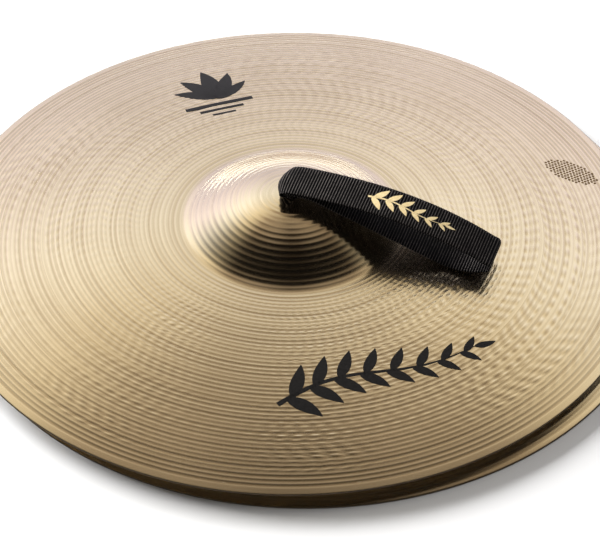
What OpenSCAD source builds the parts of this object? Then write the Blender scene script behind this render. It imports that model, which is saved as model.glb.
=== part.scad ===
// Pair of stacked hand cymbals with webbing hand straps, bell up, standing on the lower rim.
// Units are millimetres, +Z is up, and the viewer's side is -Y.

/* [Plates] */
// Radius of each plate
rim_r = 228.6; // [150:0.1:280]
// Height of the bow from the rim to the foot of the bell
bow_height = 30.2; // [15:0.1:45]
// How far out the bow stays high
bow_power = 2.3; // [1.8:0.1:3]
// Radius of the bell's foot
bell_r = 72; // [50:1:90]
// Height the bell adds to the bow
bell_height = 20.5; // [10:0.5:35]
// Flatness of the bell's crown
bell_crown = 2.6; // [2:0.1:4]
// Sharpness of the bell's foot
bell_foot = 1.6; // [1.2:0.1:2.5]
// Plate thickness at the centre hole
centre_t = 1.5; // [0.8:0.05:3]
// Plate thickness at the rim
edge_t = 0.9; // [0.5:0.05:2]
// Radius of the centre hole
hole_r = 6.35; // [4:0.05:9]
// Width of the flat land under the rim
land_w = 1.5; // [0.5:0.1:3]
// Rings that make up the plate's curve
plate_rings = 32; // [16:1:48]

/* [Stack] */
// Sideways distance between the two plates
stack_shift_x = 9.4; // [0:0.1:20]
// Front to back distance between the two plates
stack_shift_y = 0.4; // [0:0.1:10]
// Height of the upper rim above the lower rim
stack_gap = 10.5; // [9.5:0.1:20]

/* [Webbing] */
// Width of the webbing
web_w = 27; // [20:0.5:40]
// Thickness of one layer of webbing
web_t = 1.4; // [1:0.1:2.5]
// Thickness of the gathered webbing in the hole
neck_t = 5.2; // [3:0.1:8]
// Radius that the gathered webbing is held inside
neck_r = 6; // [4:0.1:6.2]

/* [Upper hand loop] */
// Direction of the upper loop, seen from above
upper_turn = -17.5; // [-180:0.5:180]
// Height of the upper fold line above the crown
upper_hinge_h = 4.8; // [3:0.1:10]
// Radius of the rolled webbing on the upper fold line
upper_roll_r = 4; // [2:0.1:5]
// Length of the upper rolled webbing
upper_roll_w = 18; // [10:0.5:27]
// Distance from the fold line to the far fold
loop_reach = 132.5; // [90:0.5:180]
// Height of the top run above the fold line at the root
loop_rise = 6.6; // [5:0.1:12]
// Drop of the top run from the root to the far fold
loop_drop = 27; // [10:0.5:40]
// How late the top run bends down
loop_arch = 2.6; // [1.5:0.1:4]
// Height above the fold line that the under run aims at
under_rise = 10.7; // [6:0.1:20]
// Slope of the under run
under_slope = 0.37; // [0.1:0.01:0.6]
// Where the under run starts to turn up
under_turn = 102; // [80:1:120]
// How fast the under run turns up
under_curl = 0.012; // [0:0.002:0.05]
// Distance from the fold line to the start of the loop
loop_root = 3; // [2:0.1:6]
// Distance from the fold line to where the two runs part
loop_split = 16.5; // [14:0.5:30]

/* [Lower hand loop] */
// Direction of the lower loop, seen from above
lower_turn = 180; // [-180:1:180]
// Height of the lower fold line above the crown
lower_hinge_h = 1.9; // [1:0.1:4]
// Radius of the rolled webbing on the lower fold line
lower_roll_r = 1.6; // [1:0.1:3]
// Thickness of the two flat layers
flat_t = 3; // [2:0.1:5]
// Clearance between the flat layers and the plate under them
flat_lift = 0.4; // [0.2:0.1:2]
// Distance from the hole axis to the end of the flat layers
flat_reach = 136; // [90:1:180]
// Distance from the hole axis to the start of the flat layers
flat_root = 1.95; // [1.9:0.05:4]
// Thickness of the neck between the hole and the lower fold line
lower_stem_t = 2.4; // [1:0.1:3]

/* [Retention under the bell] */
// Radius of the leather pad
pad_r = 18; // [12:0.5:25]
// Thickness of the leather pad at its edge
pad_edge_t = 1; // [0.6:0.1:3]
// Gap between the pad and the bell
pad_gap = 0.05; // [0:0.01:0.5]
// Radius of the steel washer
washer_r = 15; // [10:0.5:22]
// Thickness of the steel washer
washer_t = 0.9; // [0.5:0.1:2]
// Width of a webbing tail
tail_w = 18; // [10:0.5:27]
// Thickness of a webbing tail
tail_t = 1.3; // [1:0.1:2.5]
// Distance from the hole axis to the end of a tail
tail_reach = 15.5; // [10:0.5:22]
// Distance from the hole axis to a rivet
rivet_at = 10.5; // [8:0.5:14]
// Radius of a rivet's shank
rivet_r = 1.45; // [1:0.05:2.5]
// Radius of a rivet's head
rivet_head_r = 2.8; // [2:0.1:4]
// Thickness of a rivet's head
rivet_head_t = 0.5; // [0.3:0.1:1]

/* [Hidden] */
$fn = 96;
bronze = [0.78, 0.66, 0.42];
nylon = [0.07, 0.07, 0.08];
tan_leather = [0.42, 0.27, 0.15];
steel = [0.72, 0.73, 0.75];
ring_bias = 1.2;
loop_steps = 28;
fold_steps = 8;
fit_gap = 0.05;
pocket_gap = 0.1;
root_gap = 0.3;
crown_z = edge_t + bow_height + bell_height;
pad_bottom = under_z(pad_r) - pad_edge_t;
washer_bottom = pad_bottom - washer_t;
tail_bottom = washer_bottom - tail_t;

function top_z(r) = edge_t + bow_height * (1 - pow(r / rim_r, bow_power)) + bell_z(r);
function bell_z(r) = r < bell_r ? bell_height * pow(1 - pow(r / bell_r, bell_crown), bell_foot) : 0;
function plate_t(r) = centre_t + (edge_t - centre_t) * r / rim_r;
function under_z(r) = top_z(r) - plate_t(r);
function ring_r(i) = hole_r + (rim_r - hole_r) * pow(i / plate_rings, ring_bias);
function ahead(p, q) = (q - p) / norm(q - p);
function across(p, q) = [-ahead(p, q)[1], ahead(p, q)[0]];
function run_x(from, u) = from + (loop_reach - from) * u;
function top_run(x) = [x, loop_rise - loop_drop * pow(x / loop_reach, loop_arch)];
function curl(x) = under_curl * pow(max(x - under_turn, 0), 2);
function under_line(x) = under_rise - under_slope * x + curl(x);
function under_run(x) = [x, min(under_line(x), top_run(x)[1] - web_t)];
function fold_mid() = (top_run(loop_reach) + under_run(loop_reach)) / 2;
function fold_r() = (top_run(loop_reach)[1] - under_run(loop_reach)[1]) / 2;
function fold_point(a) = fold_mid() + fold_r() * [sin(a), cos(a)];
function loop_line(from) = concat(
    [for (i = [0:loop_steps]) top_run(run_x(from, i / loop_steps))],
    [for (i = [1:fold_steps - 1]) fold_point(180 * i / fold_steps)],
    [for (i = [loop_steps:-1:0]) under_run(run_x(from, i / loop_steps))]
);
function side_of(line, i) = across(line[max(i - 1, 0)], line[min(i + 1, len(line) - 1)]);
function outer_side(line) = [for (i = [0:len(line) - 1]) line[i] + side_of(line, i) * web_t / 2];
function inner_side(line) = [for (i = [0:len(line) - 1]) line[i] - side_of(line, i) * web_t / 2];
function flat_x(i) = flat_root + (flat_reach - flat_root) * i / loop_steps;
function flat_under(x) = top_z(max(x, hole_r)) - crown_z - lower_hinge_h + flat_lift;

module at_upper() {
    translate([-stack_shift_x / 2, stack_shift_y / 2, stack_gap])
        children();
}

module at_lower() {
    translate([stack_shift_x / 2, -stack_shift_y / 2, 0])
        children();
}

module side_extrude(w) {
    rotate([90, 0, 0])
        linear_extrude(height = w, center = true)
            children();
}

module plate() {
    color(bronze)
        rotate_extrude()
            polygon(concat(
                [for (i = [0:plate_rings]) [ring_r(i), top_z(ring_r(i))]],
                [[rim_r, 0], [rim_r - land_w, 0]],
                [for (i = [plate_rings - 2:-1:0]) [ring_r(i), under_z(ring_r(i))]]
            ));
}

module leather_pad() {
    color(tan_leather)
        difference() {
            rotate_extrude()
                polygon([
                    [hole_r, pad_bottom],
                    [pad_r, pad_bottom],
                    [pad_r, under_z(pad_r) - pad_gap],
                    [(pad_r + hole_r) / 2, under_z((pad_r + hole_r) / 2) - 2 * pad_gap],
                    [hole_r, under_z(hole_r) - pad_gap]
                ]);
            rivet_pair(rivet_head_r + pocket_gap, pad_bottom - 1, rivet_head_t + pocket_gap + 1);
        }
}

module rivet_pair(r, z, h) {
    translate([rivet_at, 0, z])
        cylinder(r = r, h = h);
    translate([-rivet_at, 0, z])
        cylinder(r = r, h = h);
}

module load_washer() {
    color(steel)
        difference() {
            translate([0, 0, washer_bottom])
                cylinder(r = washer_r, h = washer_t);
            translate([0, 0, washer_bottom - 1])
                cylinder(r = hole_r, h = washer_t + 2);
            rivet_pair(rivet_r + fit_gap, washer_bottom - 1, washer_t + 2);
        }
}

module tail() {
    color(nylon)
        difference() {
            translate([neck_t / 2, -tail_w / 2, tail_bottom])
                cube([tail_reach - neck_t / 2, tail_w, tail_t]);
            translate([rivet_at, 0, tail_bottom - 1])
                cylinder(r = rivet_r + fit_gap, h = tail_t + 2);
        }
}

module tail_rivets() {
    color(steel) {
        rivet_pair(rivet_r, tail_bottom, tail_t + washer_t);
        rivet_pair(rivet_head_r, tail_bottom - rivet_head_t, rivet_head_t);
        rivet_pair(rivet_head_r, pad_bottom, rivet_head_t);
    }
}

module neck_core(top) {
    intersection() {
        translate([-neck_t / 2, -neck_r, tail_bottom])
            cube([neck_t, 2 * neck_r, top - tail_bottom]);
        translate([0, 0, tail_bottom])
            cylinder(r = neck_r, h = top - tail_bottom);
    }
}

module roll(r, w, h) {
    translate([0, 0, crown_z + h])
        rotate([90, 0, 0])
            cylinder(r = r, h = w, center = true);
}

module upper_neck() {
    color(nylon)
        union() {
            neck_core(crown_z + upper_hinge_h);
            roll(upper_roll_r, upper_roll_w, upper_hinge_h);
        }
}

module lower_neck() {
    color(nylon)
        union() {
            neck_core(crown_z);
            translate([-lower_stem_t / 2, -neck_r, crown_z - 1])
                cube([lower_stem_t, 2 * neck_r, lower_hinge_h + 1]);
            roll(lower_roll_r, upper_roll_w, lower_hinge_h);
        }
}

module open_loop() {
    color(nylon)
        translate([0, 0, crown_z + upper_hinge_h])
            difference() {
                side_extrude(web_w)
                    polygon(outer_side(loop_line(loop_root)));
                side_extrude(web_w + 2)
                    polygon(inner_side(loop_line(loop_split)));
                rotate([90, 0, 0])
                    cylinder(r = upper_roll_r + root_gap, h = web_w + 2, center = true);
            }
}

module flat_loop() {
    color(nylon)
        translate([0, 0, crown_z + lower_hinge_h])
            union() {
                side_extrude(web_w)
                    polygon(concat(
                        [for (i = [0:loop_steps]) [flat_x(i), flat_under(flat_x(i)) + flat_t]],
                        [for (i = [loop_steps:-1:0]) [flat_x(i), flat_under(flat_x(i))]]
                    ));
                translate([flat_reach, 0, flat_under(flat_reach) + flat_t / 2])
                    rotate([90, 0, 0])
                        cylinder(d = flat_t, h = web_w, center = true);
            }
}

module lower_cymbal() {
    at_lower()
        plate();
}

module lower_leather_pad() {
    at_lower()
        rotate(lower_turn)
            leather_pad();
}

module lower_load_washer() {
    at_lower()
        rotate(lower_turn)
            load_washer();
}

module lower_strap_neck() {
    at_lower()
        rotate(lower_turn)
            lower_neck();
}

module lower_tail_inner() {
    at_lower()
        rotate(lower_turn + 180)
            tail();
}

module lower_tail_outer() {
    at_lower()
        rotate(lower_turn)
            tail();
}

module lower_tail_rivets() {
    at_lower()
        rotate(lower_turn)
            tail_rivets();
}

module lower_hand_loop() {
    at_lower()
        rotate(lower_turn)
            flat_loop();
}

module upper_cymbal() {
    at_upper()
        plate();
}

module upper_leather_pad() {
    at_upper()
        rotate(upper_turn)
            leather_pad();
}

module upper_load_washer() {
    at_upper()
        rotate(upper_turn)
            load_washer();
}

module upper_strap_neck() {
    at_upper()
        rotate(upper_turn)
            upper_neck();
}

module upper_tail_inner() {
    at_upper()
        rotate(upper_turn + 180)
            tail();
}

module upper_tail_outer() {
    at_upper()
        rotate(upper_turn)
            tail();
}

module upper_tail_rivets() {
    at_upper()
        rotate(upper_turn)
            tail_rivets();
}

module upper_hand_loop() {
    at_upper()
        rotate(upper_turn)
            open_loop();
}

lower_cymbal();
lower_leather_pad();
lower_load_washer();
lower_strap_neck();
lower_tail_inner();
lower_tail_outer();
lower_tail_rivets();
lower_hand_loop();
upper_cymbal();
upper_leather_pad();
upper_load_washer();
upper_strap_neck();
upper_tail_inner();
upper_tail_outer();
upper_tail_rivets();
upper_hand_loop();
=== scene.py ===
import bpy
import math
import numpy as np
from mathutils import Matrix, Vector


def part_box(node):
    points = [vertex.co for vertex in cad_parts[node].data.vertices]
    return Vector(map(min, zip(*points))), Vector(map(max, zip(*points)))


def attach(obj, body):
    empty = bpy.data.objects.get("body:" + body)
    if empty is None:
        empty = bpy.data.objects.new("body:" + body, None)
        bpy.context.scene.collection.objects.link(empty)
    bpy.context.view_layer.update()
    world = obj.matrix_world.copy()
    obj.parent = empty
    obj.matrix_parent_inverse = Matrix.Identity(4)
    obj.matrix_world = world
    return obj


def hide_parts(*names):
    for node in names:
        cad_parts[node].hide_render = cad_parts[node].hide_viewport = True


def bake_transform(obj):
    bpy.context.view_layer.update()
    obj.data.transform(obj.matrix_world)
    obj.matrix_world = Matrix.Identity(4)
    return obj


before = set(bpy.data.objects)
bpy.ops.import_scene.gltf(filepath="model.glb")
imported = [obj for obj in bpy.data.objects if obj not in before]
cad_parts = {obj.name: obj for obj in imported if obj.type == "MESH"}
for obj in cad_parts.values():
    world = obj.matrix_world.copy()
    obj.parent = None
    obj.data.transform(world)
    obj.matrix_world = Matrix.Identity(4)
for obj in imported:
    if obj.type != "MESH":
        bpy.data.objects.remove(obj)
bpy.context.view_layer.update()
MM = 0.001

# ------------------------------------------------ sizes in millimetres, as in the CAD source
# turned plates: rim, bow, bell, wall, centre hole and the flat landing under the rim
RIM_R, BOW_H, BOW_P = 228.6, 30.2, 2.3
BELL_R, BELL_H, BELL_C, BELL_F = 72.0, 20.5, 2.6, 1.6
CENTRE_T, EDGE_T, HOLE_R, LAND_W = 1.5, 0.9, 6.35, 1.5
CROWN = EDGE_T + BOW_H + BELL_H

# webbing: width, thickness and the pitch of its ribs
WEB_W, WEB_T, RIB = 27.0, 1.4, 1.83
HALF = WEB_W / 2

# straps: turn about the plate's axis, and height of the fold line above the crown
UPPER_TURN, LOWER_TURN = math.radians(-17.5), math.pi
UPPER_HINGE, LOWER_HINGE = 4.8, 1.9

# open upper loop: its top run, and its run back underneath
LOOP_REACH, LOOP_RISE, LOOP_DROP, LOOP_ARCH = 132.5, 6.6, 27.0, 2.6
UNDER_RISE, UNDER_SLOPE, UNDER_TURN, UNDER_CURL = 10.7, 0.37, 102.0, 0.012

# flat lower loop: heights of its two layers, and where it widens from its gathered start
FLAT_LIFT, FLAT_REACH = 0.4, 136.0
FLAT_LOW, FLAT_HIGH = 0.72, 2.2
GATHER_HALF, GATHER_X, GATHER_FLARE = 11.4, 5.0, 0.25

# what holds a strap under its bell
PAD_R, PAD_EDGE, WASHER_T = 18.0, 1.0, 0.9
TAIL_T, TAIL_HALF, TAIL_REACH = 1.3, 9.0, 15.5


def centre_of(node):
    """Middle of a node's foot, in metres."""
    lo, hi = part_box(node)
    return Vector(((lo[0] + hi[0]) / 2, (lo[1] + hi[1]) / 2, lo[2]))


UPPER = centre_of("upper_cymbal")
LOWER = centre_of("lower_cymbal")


def bell_z(r):
    u = np.clip(np.asarray(r, float) / BELL_R, 0, 1)
    return BELL_H * np.power(1 - np.power(u, BELL_C), BELL_F)


def top_z(r):
    r = np.asarray(r, float)
    return EDGE_T + BOW_H * (1 - np.power(r / RIM_R, BOW_P)) + bell_z(r)


def plate_t(r):
    return CENTRE_T + (EDGE_T - CENTRE_T) * np.asarray(r, float) / RIM_R


def under_z(r):
    return top_z(r) - plate_t(r)


# ------------------------------------------------ mesh helpers
def link(obj):
    bpy.context.scene.collection.objects.link(obj)
    return obj


def mesh_from(name, co, faces, smooth=True):
    """co is an (n, 3) array in metres, faces an (m, 4) array or a list of tuples."""
    me = bpy.data.meshes.new(name)
    if isinstance(faces, np.ndarray):
        n, k = faces.shape
        me.vertices.add(len(co))
        me.vertices.foreach_set("co", np.asarray(co, np.float32).ravel())
        me.loops.add(n * k)
        me.loops.foreach_set("vertex_index", faces.astype(np.int32).ravel())
        me.polygons.add(n)
        me.polygons.foreach_set("loop_start", np.arange(0, n * k, k, dtype=np.int32))
        me.polygons.foreach_set("loop_total", np.full(n, k, np.int32))
        me.update(calc_edges=True)
    else:
        me.from_pydata([tuple(c) for c in co], [], faces)
    me.validate()
    me.polygons.foreach_set("use_smooth", np.full(len(me.polygons), smooth))
    me.update()
    return link(bpy.data.objects.new(name, me))


def grid_faces(rows, cols, wrap_rows, wrap_cols):
    """Quads of a rows x cols grid of points, stored row by row."""
    i = np.arange(rows if wrap_rows else rows - 1)
    j = np.arange(cols if wrap_cols else cols - 1)
    a, b = np.meshgrid(i, j, indexing="ij")
    a2, b2 = (a + 1) % rows, (b + 1) % cols
    return np.stack([a * cols + b, a * cols + b2, a2 * cols + b2, a2 * cols + b], -1).reshape(-1, 4)


def revolve(name, profile, segs, wobble=None):
    """profile is a closed (n, 2) loop of (radius, height) in mm, turned about Z."""
    ang = np.linspace(0, 2 * math.pi, segs, endpoint=False)
    r, z = profile[:, 0][:, None], profile[:, 1][:, None]
    x, y = r * np.cos(ang), r * np.sin(ang)
    zz = np.repeat(z, segs, 1)
    if wobble is not None:
        zz = zz + wobble(x, y)
    co = np.stack([x, y, zz], -1).reshape(-1, 3) * MM
    return mesh_from(name, co, grid_faces(len(profile), segs, True, True)[:, ::-1])


def thin_piece(name, grids, top_and_bottom):
    """One mesh of closed thin slabs: top_and_bottom(points) lays each strip twice, in metres."""
    verts, faces, base = [], [], 0
    for grid in grids:
        n, k = grid.shape[:2]
        m = n * k
        verts += top_and_bottom(grid.reshape(-1, 2))
        f = grid_faces(n, k, False, False)
        faces += [tuple(q) for q in (f[:, ::-1] + base)]
        faces += [tuple(q) for q in (f + base + m)]
        # once round the strip's outline
        ring = list(range(k))
        ring += [i * k + k - 1 for i in range(1, n)]
        ring += [(n - 1) * k + j for j in range(k - 2, -1, -1)]
        ring += [i * k for i in range(n - 2, 0, -1)]
        for a, b in zip(ring, ring[1:] + ring[:1]):
            faces.append((base + a, base + b, base + m + b, base + m + a))
        base += 2 * m
    return mesh_from(name, np.concatenate(verts), faces, smooth=False)


def turned(x, y, turn):
    c, s = math.cos(turn), math.sin(turn)
    return x * c - y * s, x * s + y * c


# ------------------------------------------------ shader helpers
def new_mat(name):
    m = bpy.data.materials.new(name)
    m.use_nodes = True
    nt = m.node_tree
    nt.nodes.clear()
    out = nt.nodes.new("ShaderNodeOutputMaterial")
    bsdf = nt.nodes.new("ShaderNodeBsdfPrincipled")
    nt.links.new(bsdf.outputs["BSDF"], out.inputs["Surface"])
    return m, nt, bsdf


def object_coords(nt):
    return nt.nodes.new("ShaderNodeTexCoord").outputs["Object"]


def split_xyz(nt, vec):
    n = nt.nodes.new("ShaderNodeSeparateXYZ")
    nt.links.new(vec, n.inputs[0])
    return n.outputs


def math_node(nt, op, *values):
    n = nt.nodes.new("ShaderNodeMath")
    n.operation = op
    for sock, v in zip(n.inputs, values):
        if isinstance(v, (int, float)):
            sock.default_value = v
        else:
            nt.links.new(v, sock)
    return n.outputs[0]


def mul(nt, a, b):
    return math_node(nt, "MULTIPLY", a, b)


def add(nt, a, b):
    return math_node(nt, "ADD", a, b)


def mix_rgb(nt, fac, a, b, mode="MIX"):
    n = nt.nodes.new("ShaderNodeMix")
    n.data_type = "RGBA"
    n.blend_type = mode
    for sock, v in ((n.inputs[0], fac), (n.inputs[6], a), (n.inputs[7], b)):
        if isinstance(v, (int, float)):
            sock.default_value = v
        elif isinstance(v, tuple):
            sock.default_value = (*v, 1)
        else:
            nt.links.new(v, sock)
    return n.outputs[2]


def ramp(nt, fac, stops):
    """A colour ramp with stops (position, grey value or colour)."""
    n = nt.nodes.new("ShaderNodeValToRGB")
    el = n.color_ramp.elements
    while len(el) < len(stops):
        el.new(0.5)
    for e, (p, c) in zip(el, stops):
        e.position = p
        e.color = (c, c, c, 1) if isinstance(c, (int, float)) else (*c, 1)
    nt.links.new(fac, n.inputs[0])
    return n.outputs[0]


def noise_1d(nt, w, scale, detail, rough):
    n = nt.nodes.new("ShaderNodeTexNoise")
    n.noise_dimensions = "1D"
    n.inputs["Scale"].default_value = scale
    n.inputs["Detail"].default_value = detail
    n.inputs["Roughness"].default_value = rough
    nt.links.new(w, n.inputs["W"])
    return n.outputs[0]


def noise_3d(nt, vec, scale, detail, rough):
    n = nt.nodes.new("ShaderNodeTexNoise")
    n.inputs["Scale"].default_value = scale
    n.inputs["Detail"].default_value = detail
    n.inputs["Roughness"].default_value = rough
    nt.links.new(vec, n.inputs["Vector"])
    return n.outputs[0]


def bumped(nt, bsdf, height, strength, distance):
    n = nt.nodes.new("ShaderNodeBump")
    n.inputs["Strength"].default_value = strength
    n.inputs["Distance"].default_value = distance
    nt.links.new(height, n.inputs["Height"])
    nt.links.new(n.outputs[0], bsdf.inputs["Normal"])


# ------------------------------------------------ materials
SHADE_TONE = (0.1, 0.075, 0.05)
SPOKES = 112.0


def turned_bronze(name, base, dark, line, rough, aniso):
    """Lathe-turned bell bronze: fine rings, dark score lines, chatter in spokes, faint patches, and painted
    shade in the grooves and on the rim.
    """
    m, nt, b = new_mat(name)
    obj = object_coords(nt)
    x, y, _ = split_xyz(nt, obj)
    r_mm = mul(nt, math_node(nt, "SQRT", add(nt, mul(nt, x, x), mul(nt, y, y))), 1000.0)
    share = math_node(nt, "DIVIDE", r_mm, RIM_R)

    fine = noise_1d(nt, r_mm, 0.85, 3.0, 0.7)
    wide = noise_1d(nt, r_mm, 0.16, 2.0, 0.5)
    score = noise_1d(nt, add(nt, r_mm, 400.0), 0.42, 2.0, 0.8)
    patch = noise_3d(nt, obj, 16.0, 4.0, 0.6)

    # chatter: spokes that wander, in some belts of the bow only
    wander = mul(nt, noise_1d(nt, r_mm, 0.035, 1.0, 0.5), 26.0)
    angle = math_node(nt, "ARCTAN2", y, x)
    spokes = math_node(nt, "SINE", add(nt, mul(nt, angle, SPOKES), wander))
    belt = ramp(nt, noise_1d(nt, add(nt, r_mm, 900.0), 0.3, 2.0, 0.6), [(0.42, 0.0), (0.62, 1.0)])
    fade = ramp(nt, noise_3d(nt, obj, 9.0, 2.0, 0.5), [(0.38, 0.1), (0.6, 1.0)])
    bow_only = ramp(nt, share, [(0.33, 0.0), (0.42, 1.0), (0.9, 1.0), (0.96, 0.0)])
    chatter = mul(nt, mul(nt, spokes, belt), mul(nt, fade, bow_only))

    # tone: 0 is painted shade, darkest on the rim and lighter in the grooves; chatter lowers it a little,
    # and low tone is also rougher metal
    groove = nt.nodes.new("ShaderNodeAttribute")
    groove.attribute_name = "groove"
    shade_and_chatter = add(nt, mul(nt, groove.outputs["Fac"], 0.36), mul(nt, chatter, 0.13))
    tone = add(nt, mul(nt, fine, 0.4), mul(nt, wide, 0.18))
    tone = add(nt, tone, mul(nt, patch, 0.3))
    tone = math_node(nt, "SUBTRACT", add(nt, tone, 0.2), shade_and_chatter)
    # SHADE_TONE is the painted shade on the rim and in the deepest grooves
    col = ramp(nt, tone, [(0.0, SHADE_TONE), (0.12, dark), (0.6, base)])
    lines = ramp(nt, score, [(0.22, 0.6), (0.28, 0.0)])
    nt.links.new(mix_rgb(nt, lines, col, line), b.inputs["Base Color"])
    b.inputs["Metallic"].default_value = 1.0

    # the bell is smoother than the bow
    polish = mul(nt, ramp(nt, share, [(0.27, 1.0), (0.33, 0.0)]), 0.07)
    dull = math_node(nt, "SUBTRACT", mul(nt, tone, -0.12), polish)
    nt.links.new(add(nt, dull, rough + 0.06), b.inputs["Roughness"])

    # highlights stretch across the tool marks
    b.inputs["Anisotropic"].default_value = aniso
    b.inputs["Anisotropic Rotation"].default_value = 0.25
    tan = nt.nodes.new("ShaderNodeTangent")
    tan.direction_type = "RADIAL"
    tan.axis = "Z"
    nt.links.new(tan.outputs[0], b.inputs["Tangent"])
    bumped(nt, b, add(nt, mul(nt, fine, 0.004), mul(nt, chatter, 0.08)), 1.0, MM)
    return m


def webbing_mat(name):
    """Black nylon webbing: a painted highlight on the crests of its ribs, painted shade between them, and
    yarns that run across them.
    """
    m, nt, b = new_mat(name)
    uv = nt.nodes.new("ShaderNodeUVMap")
    uv.uv_map = "weave"
    along, across, _ = split_xyz(nt, uv.outputs[0])
    yarn = math_node(nt, "SINE", mul(nt, across, 2 * math.pi / 1.1))
    rib = math_node(nt, "COSINE", mul(nt, along, 2 * math.pi / RIB))
    obj = object_coords(nt)
    fuzz = noise_3d(nt, obj, 1500.0, 2.0, 0.6)
    crest_patches = noise_3d(nt, obj, 70.0, 3.0, 0.55)
    crest = ramp(nt, add(nt, mul(nt, rib, 0.5), mul(nt, yarn, 0.07)), [(0.1, 0.0), (0.45, 1.0)])
    lit = mul(nt, crest, add(nt, mul(nt, fuzz, 0.9), mul(nt, crest_patches, 0.5)))
    # painted shade in the valleys between the ribs, painted highlight on their crests, varied in patches
    col = ramp(nt, lit, [
        (0.04, (0.0003, 0.0003, 0.0003)), (0.5, (0.023, 0.0205, 0.019)), (1.0, (0.15, 0.133, 0.125))])
    nt.links.new(col, b.inputs["Base Color"])
    b.inputs["Roughness"].default_value = 0.6
    b.inputs["Specular IOR Level"].default_value = 0.05
    bumped(nt, b, add(nt, mul(nt, yarn, crest), mul(nt, fuzz, 0.8)), 0.6, 0.00012)
    return m


def leather_mat(name):
    """Brown pad leather: fine grain and blotches."""
    m, nt, b = new_mat(name)
    obj = object_coords(nt)
    grain = nt.nodes.new("ShaderNodeTexVoronoi")
    grain.inputs["Scale"].default_value = 900.0
    nt.links.new(obj, grain.inputs["Vector"])
    blotch = noise_3d(nt, obj, 120.0, 4.0, 0.6)
    col = ramp(nt, blotch, [(0.3, (0.12, 0.055, 0.025)), (0.7, (0.27, 0.14, 0.07))])
    nt.links.new(col, b.inputs["Base Color"])
    nt.links.new(add(nt, mul(nt, blotch, 0.2), 0.5), b.inputs["Roughness"])
    bumped(nt, b, add(nt, grain.outputs["Distance"], blotch), 0.5, 0.0001)
    return m


def steel_mat(name):
    """Plain steel of the washers and rivets, slightly stained."""
    m, nt, b = new_mat(name)
    stain = noise_3d(nt, object_coords(nt), 400.0, 4.0, 0.65)
    col = ramp(nt, stain, [(0.3, (0.34, 0.34, 0.35)), (0.7, (0.58, 0.58, 0.58))])
    nt.links.new(col, b.inputs["Base Color"])
    b.inputs["Metallic"].default_value = 1.0
    nt.links.new(add(nt, mul(nt, stain, 0.25), 0.22), b.inputs["Roughness"])
    bumped(nt, b, stain, 0.2, 0.00005)
    return m


def ink_mat(name, lo, hi, rough, metallic=0.0):
    """Ink or print with a fine uneven tone between lo and hi."""
    m, nt, b = new_mat(name)
    uneven = noise_3d(nt, object_coords(nt), 700.0, 3.0, 0.6)
    nt.links.new(ramp(nt, uneven, [(0.3, lo), (0.7, hi)]), b.inputs["Base Color"])
    b.inputs["Roughness"].default_value = rough
    b.inputs["Metallic"].default_value = metallic
    b.inputs["Specular IOR Level"].default_value = 0.2
    bumped(nt, b, uneven, 0.15, 0.00003)
    return m


BRONZE = turned_bronze("turned_bronze", (0.93, 0.80, 0.575), (0.6, 0.47, 0.3), (0.48, 0.36, 0.2),
                       rough=0.24, aniso=0.75)
WEBBING = webbing_mat("black_webbing")
LEATHER = leather_mat("pad_leather")
STEEL = steel_mat("washer_steel")
INK = ink_mat("black_ink", (0.004, 0.004, 0.004), (0.011, 0.01, 0.01), 0.5)
STAMP = ink_mat("stamped_dots", (0.22, 0.14, 0.06), (0.34, 0.23, 0.11), 0.5, 1.0)
GOLD = ink_mat("gold_print", (0.72, 0.55, 0.27), (0.86, 0.72, 0.42), 0.45, 0.35)


def finish_piece(obj, mat, nodes, body):
    obj.data.materials.clear()
    obj.data.materials.append(mat)
    if nodes:
        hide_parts(*nodes)
    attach(obj, body)


# ------------------------------------------------ turned plates
SEGS = 160
GROOVE_STEP, UNDER_STEP = 0.55, 1.03        # spacing of the profile's points, above and below
GROOVES_FROM, GROOVES_TO = 12.0, 224.0
BELL_FOOT = 70
BELL_PITCH, BOW_PITCH, PITCH_SPREAD = 3.65, 2.95, 0.35
RIM_SHADE = 4.0                              # how dark the painted shade on the rim is, in groove depths; it also makes the rim rougher
DINTS = 150


def grooves(r, seed):
    """Height of the tool marks, in mm, at radii r."""
    rng = np.random.default_rng(seed)
    h = np.zeros_like(r)
    at = GROOVES_FROM
    while at < GROOVES_TO:
        pitch = (BELL_PITCH if at < BELL_FOOT else BOW_PITCH) + PITCH_SPREAD * rng.random()
        depth = (0.08 + 0.08 * rng.random()) * (1.15 if at > 130 else 1.0)
        if 26 < at < 60:
            depth = 0.095 + 0.07 * rng.random()
        u = (r - at) / pitch
        inside = (u >= 0) & (u < 1)
        skew = np.power(np.clip(u, 0, 1), 0.8)
        h = np.where(inside, -depth * np.sin(math.pi * skew) ** 1.3, h)
        at += pitch
    # two finer lines: round the cap of the bell and round its foot
    cap_line = np.exp(-(((r - 23.0) / 0.7) ** 2)) * -0.07
    foot_line = np.exp(-(((r - 72.5) / 0.8) ** 2)) * -0.06
    return h + (cap_line + foot_line)


def hammering(seed):
    """Faint dints all over a plate, fading out at its rim and round its hole."""
    rng = np.random.default_rng(seed)
    rad = np.sqrt(rng.random(DINTS)) * 205 + 10
    ang = rng.random(DINTS) * 2 * math.pi
    cx, cy = rad * np.cos(ang), rad * np.sin(ang)
    amp = rng.normal(0, 0.035, DINTS)
    size = 9 + 9 * rng.random(DINTS)

    def wobble(x, y):
        z = np.zeros_like(x)
        for a, b, h, s in zip(cx, cy, amp, size):
            z += h * np.exp(-((x - a) ** 2 + (y - b) ** 2) / (2 * s * s))
        r = np.hypot(x, y)
        return z * (np.clip((228.0 - r) / 12.0, 0, 1) * np.clip((r - 20.0) / 20.0, 0, 1))

    return wobble


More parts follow.
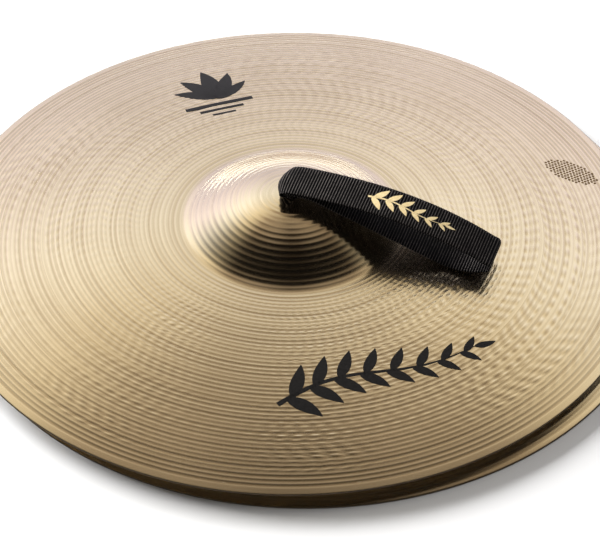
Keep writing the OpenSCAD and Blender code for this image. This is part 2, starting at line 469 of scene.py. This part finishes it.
def plate(name, centre, cad_node, body, seed):
    """A closed turned profile: top, rim, underside, hole. The attribute `groove` is high where shade is
    painted, in the grooves and most on the rim, and raises roughness there too.
    """
    r_top = np.concatenate([
        np.arange(HOLE_R + 0.25, PAD_R, 1.0),
        np.arange(PAD_R, RIM_R - 0.35, GROOVE_STEP),
    ])
    cut_top = grooves(r_top, seed)
    rim = np.array([
        [RIM_R - 0.12, top_z(RIM_R) - 0.04],
        [RIM_R, top_z(RIM_R) - 0.2],
        [RIM_R, 0.12],
        [RIM_R - 0.12, 0.0],
        [RIM_R - LAND_W, 0.0],
    ])
    # the underside's marks are shallower, and stop at the leather pad
    r_bot = np.arange(RIM_R - LAND_W - 1.0, HOLE_R + 0.5, -UNDER_STEP)
    cut_bot = -0.7 * grooves(r_bot, seed + 2) * np.clip((r_bot - PAD_R) / 3, 0, 1)
    hole_low, hole_high = float(under_z(HOLE_R)), float(top_z(HOLE_R))
    hole = np.array([
        [HOLE_R + 0.15, hole_low + 0.02],
        [HOLE_R, hole_low + 0.2],
        [HOLE_R, hole_high - 0.25],
        [HOLE_R + 0.08, hole_high - 0.06],
    ])
    profile = np.concatenate([
        np.stack([r_top, top_z(r_top) + cut_top], 1),
        rim,
        np.stack([r_bot, under_z(r_bot) + cut_bot], 1),
        hole,
    ])
    # painted shade: more in deeper grooves, less on the bell, darkest on the rim, none in the hole; the
    # same mask makes the metal rougher
    dull = np.concatenate([
        np.clip(-cut_top / 0.16, 0, 1) * np.where(r_top < BELL_FOOT, 0.3, 1.0),
        np.full(len(rim), RIM_SHADE),
        np.clip(cut_bot / 0.11, 0, 1),
        np.zeros(len(hole)),
    ])
    obj = revolve(name, profile, SEGS, hammering(seed + 1))
    shade = obj.data.attributes.new("groove", "FLOAT", "POINT")
    shade.data.foreach_set("value", np.repeat(dull, SEGS).astype(np.float32))
    obj.location = centre
    finish_piece(obj, BRONZE, (cad_node,), body)


plate("upper_turned_plate", UPPER, "upper_cymbal", "upper_plate", 11)
plate("lower_turned_plate", LOWER, "lower_cymbal", "lower_plate", 29)


# ------------------------------------------------ generic ornaments, in mm in their own plane
def strip(path, half):
    """A strip along path (n, 2) with half widths (n), as n rows of 5 points."""
    d = np.gradient(path, axis=0)
    d /= np.maximum(np.linalg.norm(d, axis=1, keepdims=True), 1e-9)
    nrm = np.stack([-d[:, 1], d[:, 0]], 1)
    lanes = np.linspace(-1, 1, 5)
    return path[:, None, :] + nrm[:, None, :] * half[:, None, None] * lanes[None, :, None]


def bar(half_length, y, width):
    t = np.linspace(0, 1, 24)
    x = -half_length + 2 * half_length * t
    return strip(np.stack([x, np.full_like(t, y)], 1), np.full_like(t, width / 2))


def dot(x, y, r):
    t = np.linspace(-1, 1, 7)
    return strip(np.stack([x + t * r, np.full_like(t, y)], 1), r * np.sqrt(np.maximum(1 - t * t, 0.03)))


def leaf(x, y, way, length, width):
    """A leaf that starts at (x, y) and points along the angle `way`, widest near its base."""
    t = np.linspace(0, 1, 17)
    bend = way + 0.35 * (t - 0.5) * np.sign(math.sin(way))
    step = length / 16
    px = x + np.concatenate([[0], np.cumsum(np.cos(bend[:-1]) * step)])
    py = y + np.concatenate([[0], np.cumsum(np.sin(bend[:-1]) * step)])
    half = width / 2 * np.maximum(np.sin(math.pi * t**0.8), 0.03) ** 0.8
    return strip(np.stack([px, py], 1), half)


def branch(length, leaves, size):
    """A leafy branch along X, with leaves shrinking towards its tip."""
    t = np.linspace(0, 1, 60)
    stem = np.stack([length * (t - 0.5), 0.035 * length * np.sin(2 * math.pi * t)], 1)
    out = [strip(stem, 0.055 * size * (1.15 - t))]
    for i in range(leaves):
        u = 0.06 + 0.86 * i / (leaves - 1)
        x, y = length * (u - 0.5), 0.035 * length * math.sin(2 * math.pi * u)
        big = size * (1 - 0.5 * u)
        for side in (-1, 1):
            out.append(leaf(x + side * 0.012 * length, y, side * (0.95 - 0.25 * u), big, big * 0.34))
    out.append(leaf(length / 2 - 1, 0.0, 0.02, size * 0.55, size * 0.17))
    return out


def fan_of_leaves():
    blades = ((0, 38, 12.5), (0.5, 34, 11.0), (-0.5, 34, 11.0), (1.0, 29, 9.0), (-1.0, 29, 9.0))
    # the small constant keeps the sign of sin(way) the same on the upright leaf
    return [leaf(0, 0, math.pi / 2 + lean + 1e-3, length, width) for lean, length, width in blades]


def oval_of_dots():
    out = []
    for i in range(-7, 8):
        for j in range(-4, 5):
            if (i / 7.5) ** 2 + (j / 4.6) ** 2 <= 1.0:
                out.append(dot(i * 2.4 + (j % 2) * 1.2, j * 2.3, 0.85))
    return out


def inked(name, grids, centre, turn, at, mat, body, lift=0.09, sink=-0.12):
    """An ornament turned, moved to `at` on a plate, and laid from `sink` to `lift` mm about its top."""
    def top_and_bottom(p):
        x, y = turned(p[:, 0], p[:, 1], turn)
        x, y = x + at[0], y + at[1]
        z = top_z(np.hypot(x, y))
        return [np.stack([x, y, z + h], 1) * MM + np.array(centre) for h in (lift, sink)]

    finish_piece(thin_piece(name, grids, top_and_bottom), mat, (), body)


def marks(prefix, centre, body):
    back, back_turn = (-50, 134), math.radians(17)
    bars = [bar(23, -7.5, 3.6), bar(15, -14.0, 2.6), bar(8, -19.5, 1.7)]
    inked(prefix + "_front_branch", branch(136, 8, 27.0), centre, math.radians(23), (53, -137), INK, body)
    inked(prefix + "_back_fan", fan_of_leaves(), centre, back_turn, back, INK, body)
    inked(prefix + "_back_bars", bars, centre, back_turn, back, INK, body)
    inked(prefix + "_stamped_dots", oval_of_dots(), centre, math.radians(-20), (183, 69), STAMP, body,
          0.075, -0.1)


marks("upper", UPPER, "upper_plate")
marks("lower", LOWER, "lower_plate")


# ------------------------------------------------ webbing
PATH_STEP = RIB / 6
LOOP_RELIEF, LOOP_LANES = 0.24, 15          # height of the ribs, and points across the strip
TAIL_RELIEF, TAIL_LANES = 0.1, 11
EDGE_ROUND = 0.4                            # share of the thickness lost at the selvedges
SELVEDGE_WAVE = 0.22


def smooth_path(ctrl, step):
    """Catmull-Rom through rows of control values, resampled every `step` mm along columns 0 and 1."""
    p = np.asarray(ctrl, float)
    p = np.concatenate([[2 * p[0] - p[1]], p, [2 * p[-1] - p[-2]]])
    out = []
    for i in range(1, len(p) - 2):
        t = np.linspace(0, 1, 24, endpoint=False)[:, None]
        a, b, c, d = p[i - 1], p[i], p[i + 1], p[i + 2]
        square = (2 * a - 5 * b + 4 * c - d) * t**2
        cube = (3 * b - a - 3 * c + d) * t**3
        out.append(0.5 * (2 * b + (c - a) * t + square + cube))
    out.append(p[-2][None])
    q = np.concatenate(out)
    s = np.concatenate([[0], np.cumsum(np.hypot(*np.diff(q[:, :2], axis=0).T))])
    n = max(int(round(s[-1] / step)), 4)
    t = np.linspace(0, s[-1], n + 1)
    return t, np.stack([np.interp(t, s, q[:, k]) for k in range(q.shape[1])], 1)


def ribbon(name, ctrl, centre, height, turn, thick=WEB_T, relief=LOOP_RELIEF, lanes=LOOP_LANES):
    """A ribbed woven strip. ctrl rows are (x, z, half width, cup) in mm about a line at `height`."""
    s, q = smooth_path(ctrl, PATH_STEP)
    d = np.gradient(q[:, :2], axis=0)
    d /= np.linalg.norm(d, axis=1, keepdims=True)
    nrm = np.stack([-d[:, 1], d[:, 0]], 1)

    # cross-section: (lane from -1 to 1, side of the thickness), with two points round each selvedge
    v = np.linspace(-1, 1, lanes)
    sec = [(a, 1.0) for a in v]
    sec += [(1.02, 0.45), (1.03, -0.45)]
    sec += [(a, -1.0) for a in v[::-1]]
    sec += [(-1.03, -0.45), (-1.02, 0.45)]
    sec = np.array(sec)

    # ribs on one face stand over the hollows of the other
    swing = 0.5 * np.cos(2 * math.pi * s / RIB)
    pts = np.zeros((len(s), len(sec), 3))
    for k, (lane, side) in enumerate(sec):
        w = 0.5 + swing if side > 0 else 0.5 - swing
        half_t = (thick / 2 - relief + relief * np.power(w, 0.7)) * side
        crown = (1 - EDGE_ROUND * abs(lane) ** 14) if abs(lane) <= 1 else 1.0
        off = half_t * crown + q[:, 3] * abs(lane) ** 2.0
        ripple = SELVEDGE_WAVE * (w - 0.5) * np.sign(lane) if abs(lane) > 0.97 else 0
        pts[:, k, 0] = q[:, 0] + nrm[:, 0] * off
        pts[:, k, 1] = q[:, 2] * lane + ripple
        pts[:, k, 2] = q[:, 1] + nrm[:, 1] * off

    n, m = pts.shape[:2]
    flat = pts.reshape(-1, 3)
    x, y = turned(flat[:, 0], flat[:, 1], turn)
    co = np.stack([x, y, flat[:, 2] + height], 1) * MM + np.array(centre)
    faces = [tuple(f) for f in grid_faces(n, m, False, True)]
    faces += [tuple(range(m))[::-1], tuple((n - 1) * m + i for i in range(m))]
    obj = mesh_from(name, co, faces)
    me = obj.data
    uv = me.uv_layers.new(name="weave")
    idx = np.zeros(len(me.loops), np.int32)
    me.loops.foreach_get("vertex_index", idx)
    across = np.tile(sec[:, 0] * HALF, n)
    along = np.repeat(s, m)
    uv.data.foreach_set("uv", np.stack([along[idx], across[idx]], 1).astype(np.float32).ravel())
    me.materials.append(WEBBING)
    return obj


def top_run(x):
    """Height of the open loop's top run above its fold line."""
    return LOOP_RISE - LOOP_DROP * (x / LOOP_REACH) ** LOOP_ARCH


def under_run(x):
    """Height of the open loop's run back underneath, kept just clear of the top run."""
    line = UNDER_RISE - UNDER_SLOPE * x + UNDER_CURL * max(x - UNDER_TURN, 0) ** 2
    return min(line, top_run(x) - WEB_T - 0.06)


def open_strap():
    """The upper loop: up out of the hole, over the top, round the far end and back to the hole."""
    ctrl = [
        (-3.9, -14.0, 4.6, -6.5), (-3.9, -9.5, 4.6, -6.5), (-4.1, -6.5, 5.0, -6.0),
        (-5.1, -4.0, 8.0, -6.2), (-6.7, -1.7, 11.0, -6.0), (-7.8, 1.2, 12.5, -5.2),
        (-7.2, 4.3, 13.0, -3.9), (-4.2, 6.6, 13.3, -2.4), (1.0, 7.2, HALF, -1.0), (7.0, 6.85, HALF, -0.3),
    ]
    bend = LOOP_REACH - 1.5
    ctrl += [(x, top_run(x), HALF, 0.0) for x in np.linspace(14, bend, 16)]
    mid = (top_run(LOOP_REACH) + under_run(LOOP_REACH)) / 2
    rad = (top_run(LOOP_REACH) - under_run(LOOP_REACH)) / 2
    ctrl += [(LOOP_REACH + rad * math.sin(a), mid + rad * math.cos(a), HALF, 0.0)
             for a in np.radians([25, 55, 90, 125, 155])]
    ctrl += [(x, under_run(x), HALF, 0.0) for x in np.linspace(bend, 18, 20)]
    ctrl += [
        (12.5, under_run(12.5), HALF, 0.1), (7.0, 5.25, HALF, 0.2), (2.0, 5.3, 12.8, 0.8),
        (-1.6, 4.7, 11.8, 1.8), (-3.9, 3.0, 10.6, 3.0), (-4.6, 0.6, 9.2, 4.2), (-4.2, -1.8, 7.6, 5.2),
        (-3.2, -4.2, 5.4, 5.4), (-2.4, -6.8, 3.6, 4.6), (-2.3, -9.5, 3.4, 4.6), (-2.3, -14.0, 3.4, 4.6),
    ]
    obj = ribbon("upper_webbing_strap", ctrl, UPPER, CROWN + UPPER_HINGE, UPPER_TURN)
    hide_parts("upper_hand_loop", "upper_strap_neck")
    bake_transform(obj)


def flat_under(x):
    """Height of the flat loop's underside above its fold line: it follows the lower plate."""
    return float(top_z(max(x, HOLE_R))) - CROWN - LOWER_HINGE + FLAT_LIFT


def flat_layer(xs, lift, cup):
    """Control rows of one flat layer, which flares from the gather to the full width."""
    half = [min(HALF, GATHER_HALF + (x - GATHER_X) * GATHER_FLARE) for x in xs]
    return [(x, flat_under(x) + lift, h, cup) for x, h in zip(xs, half)]


def flat_strap():
    """The lower loop: two layers flat on the lower plate, folded at the far end."""
    ctrl = [
        (-1.5, -12.0, 4.9, 0.0), (-1.5, -6.0, 4.9, 0.0), (-1.4, -2.6, 5.6, 0.0), (-0.7, -0.2, 7.2, 0.0),
        (1.2, flat_under(1) + FLAT_HIGH - 0.1, 9.2, -0.05),
        (GATHER_X, flat_under(GATHER_X) + FLAT_HIGH, GATHER_HALF, -0.1),
    ]
    ctrl += flat_layer(np.linspace(12, FLAT_REACH - 1, 24), FLAT_HIGH, -0.25)
    z = flat_under(FLAT_REACH)
    ctrl += [
        (FLAT_REACH + 0.5, z + 2.0, HALF, 0),
        (FLAT_REACH + 0.9, z + 1.46, HALF, 0),
        (FLAT_REACH + 0.5, z + 0.92, HALF, 0),
    ]
    ctrl += flat_layer(np.linspace(FLAT_REACH - 1, 12, 24), FLAT_LOW, 0.25)
    ctrl += [
        (5.5, flat_under(GATHER_X) + FLAT_LOW, GATHER_HALF, 0.1),
        (2.6, flat_under(2) + FLAT_LOW - 0.2, 9.2, 0.0),
        (1.5, -2.0, 7.0, 0.0), (1.2, -4.0, 5.2, 0.0), (1.2, -7.0, 4.8, 0.0), (1.2, -12.0, 4.8, 0.0),
    ]
    obj = ribbon("lower_webbing_strap", ctrl, LOWER, CROWN + LOWER_HINGE, LOWER_TURN)
    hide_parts("lower_hand_loop", "lower_strap_neck")
    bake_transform(obj)


open_strap()
flat_strap()


# ------------------------------------------------ what holds each strap under its bell
def retention(prefix, centre, turn, body):
    """Two woven tails, a leather disc and a steel finish for the CAD's washer and rivets."""
    pad_low = float(under_z(PAD_R)) - PAD_EDGE
    tail_mid = pad_low - WASHER_T - TAIL_T / 2
    for side, way in (("outer", 0.0), ("inner", math.pi)):
        ctrl = [(1.3, 4.4, 4.6, 0.0), (1.5, 2.2, 5.2, 0.0), (2.4, 0.5, 6.6, 0.0), (4.2, 0.0, 8.2, 0.0)]
        ctrl += [(x, 0.0, TAIL_HALF, 0.0) for x in (7.0, 11.0, TAIL_REACH)]
        tail = ribbon(f"{prefix}_webbing_tail_{side}", ctrl, centre, tail_mid, turn + way,
                      TAIL_T, TAIL_RELIEF, TAIL_LANES)
        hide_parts(f"{prefix}_tail_{side}")
        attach(tail, body)

    r = np.linspace(HOLE_R + 0.4, PAD_R - 0.5, 14)
    edge_high, hole_high = float(under_z(PAD_R)), float(under_z(HOLE_R))
    top = np.stack([r, under_z(r) - 0.08], 1)
    skirt = np.array([
        [PAD_R - 0.12, edge_high - 0.22],
        [PAD_R, edge_high - 0.5],
        [PAD_R - 0.05, pad_low + 0.25],
        [PAD_R - 0.2, pad_low + 0.06],
    ])
    low = np.stack([r[::-1], np.full_like(r, pad_low)], 1)
    eye = np.array([
        [HOLE_R + 0.1, pad_low + 0.15],
        [HOLE_R, pad_low + 0.7],
        [HOLE_R + 0.1, hole_high - 0.3],
    ])
    pad = revolve(f"{prefix}_leather_disc", np.concatenate([top, skirt, low, eye]), 72)
    pad.location = centre
    finish_piece(pad, LEATHER, (f"{prefix}_leather_pad",), body)

    for n in ("load_washer", "tail_rivets"):
        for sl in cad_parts[f"{prefix}_{n}"].material_slots:
            sl.link = "OBJECT"
            sl.material = STEEL


retention("upper", UPPER, UPPER_TURN, "upper_strap")
retention("lower", LOWER, LOWER_TURN, "lower_strap")


# ------------------------------------------------ gold ornament on the upper loop
ORNAMENT_X = 77.0


def on_top_run(p):
    """Points (n, 2) along and across the open loop, laid just above and just below its top face."""
    x = p[:, 0]
    z = np.array([top_run(v) for v in x])
    steep = LOOP_DROP * LOOP_ARCH / LOOP_REACH
    slope = np.array([-steep * (v / LOOP_REACH) ** (LOOP_ARCH - 1) for v in x])
    nx, nz = -slope / np.sqrt(1 + slope**2), 1 / np.sqrt(1 + slope**2)
    out = []
    for lift in (WEB_T / 2 + 0.05, WEB_T / 2 - 0.25):
        px, py = turned(x + nx * lift, p[:, 1], UPPER_TURN)
        out.append(np.stack([px, py, z + nz * lift + CROWN + UPPER_HINGE], 1) * MM + np.array(UPPER))
    return out


shapes = [g + np.array([ORNAMENT_X, 0.0]) for g in branch(52, 6, 13.0)]
finish_piece(thin_piece("upper_strap_ornament", shapes, on_top_run), GOLD, (), "upper_loop")


# ------------------------------------------------ floor and lights
def floor(half_size=6.0):
    me = bpy.data.meshes.new("floor")
    corners = [(-half_size, -half_size, 0), (half_size, -half_size, 0),
               (half_size, half_size, 0), (-half_size, half_size, 0)]
    me.from_pydata(corners, [], [(0, 1, 2, 3)])
    o = link(bpy.data.objects.new("floor", me))
    m, _, b = new_mat("pale_floor")
    b.inputs["Base Color"].default_value = (0.62, 0.62, 0.62, 1)
    b.inputs["Roughness"].default_value = 0.9
    b.inputs["Specular IOR Level"].default_value = 0.1
    me.materials.append(m)
    o.location.z = -0.0002


def area(name, loc, size, power):
    """A rectangular light aimed at the origin. Metal never mirrors it: it is for floor, webbing and ink."""
    d = bpy.data.lights.new(name, "AREA")
    d.shape = "RECTANGLE"
    d.size, d.size_y = size
    d.energy = power
    o = link(bpy.data.objects.new(name, d))
    o.location = loc
    o.rotation_mode = "QUATERNION"
    o.rotation_quaternion = (-Vector(loc)).to_track_quat("-Z", "Y")
    o.visible_glossy = False


floor()
area("overhead_soft", (0.1, 0.3, 2.4), (2.0, 2.0), 19)
area("back_soft", (-3.0, 2.8, 1.75), (4.2, 1.7), 880)

# ------------------------------------------------ the studio that the metal mirrors
world = bpy.data.worlds.new("studio")
bpy.context.scene.world = world
world.use_nodes = True
wt = world.node_tree
bg = wt.nodes["Background"]
east, north, high = split_xyz(wt, wt.nodes.new("ShaderNodeTexCoord").outputs["Generated"])
height = math_node(wt, "ARCSINE", high)
bearing = math_node(wt, "ARCTAN2", east, north)


def angle_ramp(value, span, stops):
    """A colour ramp from -span to span degrees, whose stops are given as (degrees, colour)."""
    return ramp(wt, math_node(wt, "MULTIPLY_ADD", value, 0.5 / math.radians(span), 0.5),
                [(deg / span * 0.5 + 0.5, c) for deg, c in stops])


# softboxes stand left and right behind the cymbals, with a dimmer wall between them and a dark ceiling
across = angle_ramp(bearing, 180, [
    (-84, 0.0), (-62, 0.2), (-40, 0.9), (-24, 0.81), (-7, 0.595),
    (8, 0.7), (24, 0.74), (42, 0.69), (64, 0.24), (84, 0.0)])
above = angle_ramp(height, 90, [
    (-5, (0.36, 0.34, 0.47)), (8, (0.49, 0.455, 0.55)), (22, (0.585, 0.55, 0.64)),
    (38, (0.675, 0.675, 0.67)), (52, (0.53, 0.465, 0.345)), (62, (0.2, 0.155, 0.11)),
    (73, (0.185, 0.15, 0.113)), (84, (0.014, 0.009, 0.006))])
behind = mix_rgb(wt, 1.0, across, above, "MULTIPLY")
# a low, wide wall of light faces the cymbals, out of what the main view reflects, so other views are lit
facing = angle_ramp(math_node(wt, "ABSOLUTE", bearing), 180, [
    (78, 0.0), (94, 0.34), (140, 0.5), (180, 0.42)])
low = angle_ramp(height, 90, [
    (-5, (0.6, 0.6, 0.66)), (20, (0.72, 0.7, 0.68)), (34, (0.4, 0.38, 0.34)), (46, (0.0, 0.0, 0.0))])
front = mix_rgb(wt, 1.0, facing, low, "MULTIPLY")
wt.links.new(mix_rgb(wt, 1.0, behind, front, "ADD"), bg.inputs["Color"])
bg.inputs["Strength"].default_value = 2.1

# ------------------------------------------------ camera: a long lens, high in front of the pair
FOCUS = UPPER + Vector((0, 0, EDGE_T * MM))
ELEV, DIST, ROLL = math.radians(40.905), 3.48, -0.0064
LENS, SENSOR = 321.84, 36.0
AIM_RIGHT, AIM_DOWN = 0.001421, 0.005162    # how far the lens looks past FOCUS, as slopes
LOOK = Vector((0, math.cos(ELEV), -math.sin(ELEV)))
RIGHT, UP = Vector((1, 0, 0)), Vector((0, math.sin(ELEV), math.cos(ELEV)))

cam = bpy.data.cameras.new("camera")
cam.sensor_width = SENSOR
cam.lens = LENS
cam.clip_start, cam.clip_end = 0.1, 40
camera = link(bpy.data.objects.new("camera", cam))
look = (LOOK + RIGHT * AIM_RIGHT - UP * AIM_DOWN).normalized()
right = RIGHT * math.cos(ROLL) + UP * math.sin(ROLL)
right = (right - look * right.dot(look)).normalized()
rot = Matrix((right, right.cross(look), -look)).transposed()
camera.matrix_world = Matrix.Translation(FOCUS - LOOK * DIST) @ rot.to_4x4()
bpy.context.scene.camera = camera
bpy.context.scene.view_settings.view_transform = "Standard"
bpy.context.scene.view_settings.look = "None"
